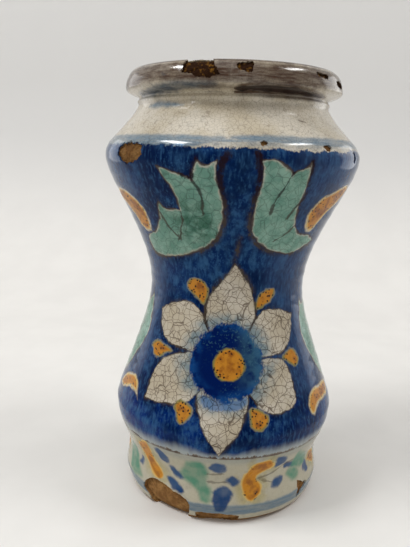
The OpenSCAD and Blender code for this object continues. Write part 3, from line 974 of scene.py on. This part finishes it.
def paintedGlaze(name, shine, glint="#ffffff"):
    # thick glassy tin glaze: a milky crackled white with brushed colours sunk into it and a wet shine
    material, step, place = startMaterial(name)
    coat = functools.partial(layOver, step)
    c = pigments
    at = glazeHeights
    laid = {layer: step("read", attribute_name=layer) for layer in paintLayers}
    runs = {
        "free": place,
        "upright": step("stretch", place, (1.0, 1.0, 0.25)),
        "level": step("stretch", place, (1.0, 1.0, 7.0)),
    }
    mark = {key: step("grain", runs[run], size, detail) for key, (run, size, detail) in glazeMarks.items()}
    fine, broad, patch, cloud, brushed = (mark[key] for key in ("fine", "broad", "patch", "cloud", "brushed"))
    height = step("heightOf", place)
    ropes = step("times", step("ramp", mark["rope"], 0.25, 0.6, 0.75, 1.0),
                 step("ramp", mark["thread"], 0.3, 0.65, 0.82, 1.0))
    wobble = step("timesPlus", mark["shake"], 1.2, step("timesPlus", broad, 0.6, -0.9))
    feather = step("timesPlus", mark["hair"], 0.8, step("timesPlus", fine, 0.4, -0.6))
    feather = step("plus", wobble, feather)
    pressure = step("ramp", mark["press"], 0.3, 0.7, 0.25, 1.4)

    def cover(layer, edge, rough, grow=0.0, brush=wobble):
        # full inside an outline, with a soft edge that the brush makes unsteady, in mm
        return step("ramp", step("timesPlus", brush, rough, laid[layer]), grow + edge, grow - edge)

    def line(layer, halfWidth, rough):
        # a brushed line that swells and thins
        away = step("size", step("timesPlus", wobble, rough, laid[layer]))
        return step("ramp", step("over", away, pressure), halfWidth * 1.6, halfWidth * 0.4)

    def wash(layer):
        return step("times", step("ramp", step("timesPlus", wobble, 0.6, laid[layer]), 0.0, 1.1), ropes)

    # the white, greyer on the foot and stained round its yellow touches, under thin washes
    onFoot = step("ramp", height, *at["onFoot"])
    nearYellow = step("ramp", laid["ochre"], 5.5, 0.5)
    white = step("mix", step("ramp", patch, 0.35, 0.65), c["tinWhite"], c["tinCream"])
    white = coat(white, c["stain"], step("ramp", mark["dirt"], 0.5, 0.75), 0.18)
    white = coat(white, c["footWhite"], onFoot, 0.7)
    # greyer in a band just under the blue
    white = coat(white, c["greyBelowBlue"], step("ramp", height, *at["greyBelowBlue"]), onFoot, 0.7)
    white = coat(white, c["ochreStain"], nearYellow, onFoot, 0.6, step("ramp", broad, 0.35, 0.6))
    colour = coat(white, c["cobaltThin"], wash("cobaltWash"))
    colour = coat(colour, c["smear"], wash("smearWash"))
    # brown washes; on the rim's face and in the groove under the rim they are partly painted shade
    thick = step("ramp", laid["manganeseWashAndShade"], 1.0, 1.8)
    brown = step("mix", thick, c["manganeseThin"], c["manganese"])
    colour = coat(colour, brown, step("most", wash("manganeseWashAndShade"), thick))

    # the cobalt ground is mottled, darkest where the brush hugged a form, and pales at its lower edge,
    # thinning and with a painted reflection of the floor
    nearForm = step("least", laid["copper"], step("least", laid["petalA"], laid["petalB"]))
    hugging = step("times", step("ramp", nearForm, 5.0, 0.8), step("ramp", broad, 0.38, 0.6))
    specks = step("times", step("ramp", mark["speck"], 0.56, 0.7), step("ramp", patch, 0.62, 0.42))
    depthAndSheen = laid["groundDepthAndSheen"]
    paleEdgeAndReflection = step("timesPlus", brushed, 0.5, laid["thinningAndFloorReflection"])
    ground = step("mix", step("ramp", height, *at["lowBlue"]), c["cobalt"], c["cobaltLow"])
    for pigment, *amounts in (
        ("cobaltPale", step("ramp", cloud, 0.44, 0.7), 0.6),
        ("cobaltPale", step("ramp", brushed, 0.48, 0.7), 0.55),
        ("cobaltDeep", step("most", hugging, step("times", step("ramp", patch, 0.45, 0.62), 0.85))),
        ("cobaltDeep", step("ramp", depthAndSheen, 0.0, -1.0), step("ramp", brushed, 0.3, 0.6, 0.85, 0.4)),
        # paler, greyer blue at the panel's sides: painted sheen
        ("cobaltSheenGrey", step("ramp", depthAndSheen, 0.0, 1.0), 0.5),
        ("cobaltPale", specks, 0.4),
        ("cobaltPale", step("ramp", mark["bristle"], 0.5, 0.7), 0.4),
        ("cobaltDeep", step("ramp", mark["bristle"], 0.48, 0.32), 0.4),
        # pale grey at the blue's lower edge: thinning blue and a painted reflection of the floor
        ("fadedBlueAndReflection", step("ramp", paleEdgeAndReflection, 0.35, 1.25), 0.95),
    ):
        ground = coat(ground, c[pigment], *amounts)
    smoke = step("times", step("ramp", laid["manganese"], 2.2, -0.3), step("ramp", cloud, 0.3, 0.65))
    shadow = step("times", step("ramp", nearForm, 1.8, 0.2), step("ramp", brushed, 0.4, 0.62))
    drawnColour = step("mix", step("ramp", height, *at["darkStrokes"]), c["contourThin"], c["manganese"])
    ground = coat(ground, drawnColour, step("most", smoke, shadow), 0.42)
    onGround = cover("cobalt", 0.5, 3.0, brush=feather)
    offGround = step("minus", 1.0, onGround)
    colour = coat(colour, ground, onGround)
    dabLow = step("ramp", step("timesPlus", cloud, 0.004, height), *at["dabDeep"])
    dab = step("mix", dabLow, c["dabBlue"], c["dabDeep"])
    colour = coat(colour, dab, cover("footCobalt", 0.8, 2.2), step("ramp", broad, 0.3, 0.6, 0.88, 1.0))

    # the white reserve left for each form shows as a pale rim where the colour stops short
    halo = step("most", step("times", cover("ochre", 0.5, 2.0, 0.2), 0.5), cover("copper", 0.4, 1.6))
    halo = step("most", halo, cover("crescent", 0.4, 1.4, 0.1))
    colour = coat(colour, white, halo, onGround, 0.85)

    # petals, washed with blue next to the ring, and the ring at the heart of the flower
    petals = step("most", cover("petalA", 0.4, 1.8), cover("petalB", 0.4, 1.8))
    petal = step("mix", 0.15, white, c["stain"])
    petal = coat(petal, c["petalBlue"], laid["petalWash"], step("ramp", cloud, 0.3, 0.62, 0.25, 1.0), 0.9)
    petal = coat(petal, c["bandBlue"], cover("petalBand", 1.0, 2.4, brush=feather), 0.8)
    colour = coat(colour, petal, petals)
    contour = step("most", line("petalA", 0.36, 1.8), line("petalB", 0.36, 1.8))
    colour = coat(colour, c["outline"], contour, step("ramp", broad, 0.35, 0.6, 0.25, 0.9))
    outward = step("times", step("ramp", laid["ring"], -5.5, -0.5), step("ramp", cloud, 0.35, 0.6))
    heart = coat(c["ringBlue"], c["ringOuter"], outward, 0.75)
    heart = coat(heart, c["ringThin"], laid["dilute"], step("ramp", cloud, 0.25, 0.6))
    heart = coat(heart, c["ringThin"], specks, 0.5)
    inRing = cover("ring", 0.9, 3.6, brush=feather)
    colour = coat(colour, heart, inRing)

    # copper green, opaque on the blue and watery on the foot
    leaf = step("mix", step("ramp", broad, 0.35, 0.7), c["copper"], c["copperPale"])
    shade = step("most", laid["copperDeep"], step("times", step("ramp", patch, 0.5, 0.75), 0.4))
    leaf = coat(leaf, c["copperDeep"], shade, step("ramp", cloud, 0.3, 0.6))
    green = step("times", cover("copper", 0.7, 2.6, -0.6), onGround)
    colour = coat(colour, leaf, green, 0.95)
    watery = step("times", cover("copper", 1.5, 1.6, -0.2), offGround)
    colour = coat(colour, c["copperWet"], watery, step("ramp", broad, 0.3, 0.65, 0.65, 1.0))
    contour = step("most", line("copper", 0.4, 1.6), step("times", line("crescent", 0.3, 1.4), 0.7))
    colour = coat(colour, c["outline"], contour, onGround, 0.85)

    # thick yellow, pitted by the fire
    aboveFoot = step("ramp", height, *at["aboveFoot"])
    pitted = pits(step, wandering(step, place, 2.5, 1.2), 1.45, 0.44)
    pitted = step("times", pitted, step("ramp", laid["disc"], -3.4, -2.2))
    pitted = step("times", pitted, step("most", aboveFoot, step("ramp", broad, 0.5, 0.56)))
    depth = step("least", laid["ochre"], laid["disc"])
    fringe = coat(c["ochreFringe"], c["ochreRim"], onGround, step("ramp", laid["crescent"], 0.4, 1.4))
    yellow = coat(c["ochreFoot"], c["ochre"], onGround)
    yellow = coat(yellow, fringe, step("ramp", depth, -1.2, -0.1))
    core = step("times", step("ramp", depth, -0.6, -2.0), step("ramp", cloud, 0.42, 0.62))
    yellow = coat(yellow, c["ochreDark"], core, 0.8)
    yellow = coat(yellow, c["pit"], pitted)
    touched = step("most", cover("ochre", 0.6, 2.4), cover("disc", 0.5, 1.6))
    colour = coat(colour, yellow, touched, 0.96)

    # brown strokes last
    veins = step("times", line("vein", 0.62, 0.9), step("ramp", laid["veinNear"], 1.8, 0.8))
    veins = step("times", veins, step("ramp", height, *at["aboveFoot"], 0.55, 0.85))
    drawn = cover("manganese", 0.5, 2.6, 0.05, feather)
    drawn = step("times", drawn, step("ramp", brushed, 0.3, 0.5, 0.65, 1.0))
    colour = coat(colour, drawnColour, step("most", veins, drawn), step("ramp", fine, 0.1, 0.5, 0.6, 0.95))

    # crackle: brown in the petals, faint in the green, fine in the neck and lost in the blue
    wide = cracks(step, wandering(step, place, 9.0, 5.0), 5.0, 0.2)
    middling = step("times", cracks(step, wandering(step, place, 5.0, 3.2), 3.0, 0.14), 0.8)
    small = cracks(step, wandering(step, place, 3.0, 1.8), 1.6, 0.11)
    inPetal = step("times", petals, step("minus", 1.0, inRing))
    shown = step("timesPlus", green, 0.4, step("times", inPetal, 0.75))
    faint = step("times", offGround, step("ramp", height, *at["neckCrackle"], 0.08, 0.35))
    crackle = step("most", step("times", step("most", wide, middling), shown), step("times", small, faint))
    colour = coat(colour, step("darken", 1.0, colour, c["crackle"]), crackle)

    rough = step("timesPlus", touched, 0.2, step("ramp", mark["dull"], 0.3, 0.75, 0.07, 0.18))
    relief = step("timesPlus", touched, 0.6, step("times", mark["swell"], 0.4))
    relief = step("minus", relief, step("times", crackle, 0.2))
    relief = step("minus", relief, step("times", step("times", pitted, touched), 0.8))
    return finishMaterial(material, {
        "Base Color": colour, "Roughness": rough, "Normal": step("bump", relief, 0.3, 0.25 * mm), "IOR": 1.5,
        "Specular IOR Level": shine, "Specular Tint": glint})


def bareClay(name):
    # buff earthenware where the glaze has flaked off: rubbed, grimed, dark with gold glints at the rim
    material, step, place = startMaterial(name)
    coat = functools.partial(layOver, step)
    height = step("heightOf", place)
    sand = step("grain", place, 0.8, 3.0)
    colour = coat("#7a5632", "#9c7648", step("ramp", step("grain", place, 4.0, 4.0), 0.35, 0.65))
    colour = coat(colour, "#4e351e", step("ramp", sand, 0.5, 0.75), 0.5)
    grimed = coat("#2a1607", "#74501a", step("ramp", step("grain", place, 1.6, 3.0), 0.5, 0.72))
    grime = step("most", step("ramp", height, 0.172, 0.19), step("ramp", height, 0.1, 0.15, 0.0, 0.4))
    colour = coat(colour, grimed, grime)
    relief = step("timesPlus", sand, 0.5, step("grain", place, 2.0, 3.0))
    return finishMaterial(material, {
        "Base Color": colour, "Roughness": 0.85, "Normal": step("bump", relief, 0.4, 0.3 * mm),
        "Specular IOR Level": 0.08})


def plainTinGlaze(name):
    # the unpainted coat inside: thin grey cream, crackled, darker towards the floor of the jar
    material, step, place = startMaterial(name)
    coat = functools.partial(layOver, step)
    colour = coat("#b3a88f", "#94886f", step("ramp", step("grain", place, 14.0, 4.0), 0.35, 0.65))
    low = step("ramp", step("heightOf", place), 0.09, 0.015)
    colour = coat(colour, "#5c4a35", low, step("ramp", step("grain", place, 9.0, 5.0), 0.3, 0.7), 0.7)
    crackle = cracks(step, wandering(step, place, 5.0, 2.4), 4.5, 0.3)
    colour = coat(colour, step("darken", 1.0, colour, "#7a6450"), crackle, 0.7)
    rough = step("ramp", step("grain", place, 3.0, 4.0), 0.3, 0.75, 0.18, 0.4)
    relief = step("bump", step("grain", place, 2.4, 2.0), 0.25, 0.2 * mm)
    return finishMaterial(material, {"Base Color": colour, "Roughness": rough, "Normal": relief, "IOR": 1.5})


# the blue coat shines less and its glints are blue, so that its darkest places stay as deep as they are
for piece, material in (
    (neck, paintedGlaze("milky tin glaze", shine=0.5)),
    (foot, paintedGlaze("tin glaze with a painted border", shine=0.2)),
    (body, paintedGlaze("cobalt painted tin glaze", shine=0.18, glint="#5f9ee6")),
    (clay, bareClay("fired buff clay")),
    (inside, plainTinGlaze("plain tin glaze")),
):
    piece.data.materials.clear()
    piece.data.materials.append(material)

# the floor and a backdrop in one sweep, in mm
stageForm = {
    # the wall is given a greyer colour than the floor as painted shade
    "floor": "#e4e2de", "floorShade": "#e0deda", "wall": "#d0cfcd",
    "halfWidth": 900, "back": 520, "front": 1400, "height": 900, "bend": 260, "bendSegments": 24,
}


def paperSweep(name):
    # matt studio paper, a little cloudy, and greyer up the wall as painted shade
    material, step, place = startMaterial(name)
    cloudy = step("ramp", step("grain", place, 40.0, 3.0), 0.3, 0.7)
    colour = layOver(step, stageForm["floor"], stageForm["floorShade"], cloudy)
    # the wall's greyer colour is painted shade
    colour = layOver(step, colour, stageForm["wall"], step("ramp", step("heightOf", place), 0.02, 0.2))
    return finishMaterial(material, {"Base Color": colour, "Roughness": 0.9, "Specular IOR Level": 0.2})


bpy.ops.object.select_all(action="DESELECT")
bpy.ops.mesh.primitive_plane_add(size=1, location=(0, 0, 0))
floor = bpy.context.object
floor.name = "studio_floor"
co = readCo(floor)
co[:, 0] = np.sign(co[:, 0]) * stageForm["halfWidth"]
co[:, 1] = np.where(co[:, 1] > 0, stageForm["back"], -stageForm["front"])
writeCo(floor, co)
for face in floor.data.polygons:
    face.select = False
for edge in floor.data.edges:
    edge.select = all(floor.data.vertices[v].co.y > 0 for v in edge.vertices)
for vert in floor.data.vertices:
    vert.select = vert.co.y > 0
bpy.ops.object.mode_set(mode="EDIT")
bpy.ops.mesh.select_mode(type="EDGE")
bpy.ops.mesh.extrude_region_move(TRANSFORM_OT_translate={"value": (0, 0, stageForm["height"] * mm)})
bpy.ops.object.mode_set(mode="OBJECT")
bend = floor.modifiers.new("bend", "BEVEL")
bend.width = stageForm["bend"] * mm
bend.segments = stageForm["bendSegments"]
bend.limit_method = "ANGLE"
onlyActive(floor)
bpy.ops.object.modifier_apply(modifier=bend.name)
bpy.ops.object.shade_smooth()
floor.data.materials.append(paperSweep("paper sweep"))
print("floor and backdrop made")

# camera: place and sensor in mm, angles in degrees, focal length and the picture's long side in pixels
cameraForm = {"at": (0, -281.9, 163.6), "pitch": 11.60, "roll": 1.60, "yaw": -2.22, "sensor": 36,
              "focalPixels": 581.7, "longSidePixels": 547}
pitch, roll, yaw = (math.radians(cameraForm[k]) for k in ("pitch", "roll", "yaw"))
forward = Vector((math.sin(yaw) * math.cos(pitch), math.cos(yaw) * math.cos(pitch), -math.sin(pitch)))
level = Vector((math.cos(yaw), -math.sin(yaw), 0))
upright = level.cross(forward)
right = math.cos(roll) * level + math.sin(roll) * upright
up = -math.sin(roll) * level + math.cos(roll) * upright
camData = bpy.data.cameras.new("camera")
camData.sensor_width = cameraForm["sensor"]
camData.lens = cameraForm["sensor"] * cameraForm["focalPixels"] / cameraForm["longSidePixels"]
camData.clip_start = 0.01
camera = bpy.data.objects.new("camera", camData)
bpy.context.scene.collection.objects.link(camera)
turnedTo = Matrix((right, up, -forward)).transposed().to_4x4()
camera.matrix_world = Matrix.Translation(Vector(cameraForm["at"]) * mm) @ turnedTo
bpy.context.scene.camera = camera

# each lamp: direction as (azimuth from the front, elevation), distance and size in m, watts
# the two strips stand in for the pale room at the sides: they show in the shine and light nothing else
lamps = {
    "window_left": {"from": (-68, 52), "distance": 1.15, "size": (0.45, 0.16), "watts": 6.5},
    "window_right": {"from": (82, 50), "distance": 1.15, "size": (0.45, 0.16), "watts": 4.0},
    "ceiling": {"from": (-30, 72), "distance": 1.6, "size": (1.6, 1.2), "watts": 3.5},
    "strip_left": {
        "from": (-122, 6), "distance": 0.62, "size": (0.34, 0.5), "watts": 0.65, "shineOnly": True},
    "strip_right": {
        "from": (122, 6), "distance": 0.62, "size": (0.34, 0.5), "watts": 0.85, "shineOnly": True},
}
lampTarget = Vector((0, 0, 0.12))
room = {"colour": "#e9e8e7", "strength": 0.6}
for name, lamp in lamps.items():
    azimuth, elevation = (math.radians(v) for v in lamp["from"])
    ahead = Vector((math.sin(azimuth), -math.cos(azimuth), 0))
    away = math.cos(elevation) * ahead + Vector((0, 0, math.sin(elevation)))
    data = bpy.data.lights.new(name, "AREA")
    data.shape = "RECTANGLE"
    data.size, data.size_y = lamp["size"]
    data.energy = lamp["watts"]
    box = bpy.data.objects.new(name, data)
    bpy.context.scene.collection.objects.link(box)
    box.location = lampTarget + lamp["distance"] * away
    box.rotation_euler = (-away).to_track_quat("-Z", "Y").to_euler()
    box.visible_diffuse = not lamp.get("shineOnly", False)
world = bpy.data.worlds.new("room")
bpy.context.scene.world = world
world.use_nodes = True
sky = world.node_tree.nodes["Background"].inputs
sky["Color"].default_value = linearColour(room["colour"])
sky["Strength"].default_value = room["strength"]
print("camera and", len(lamps), "lamps placed")
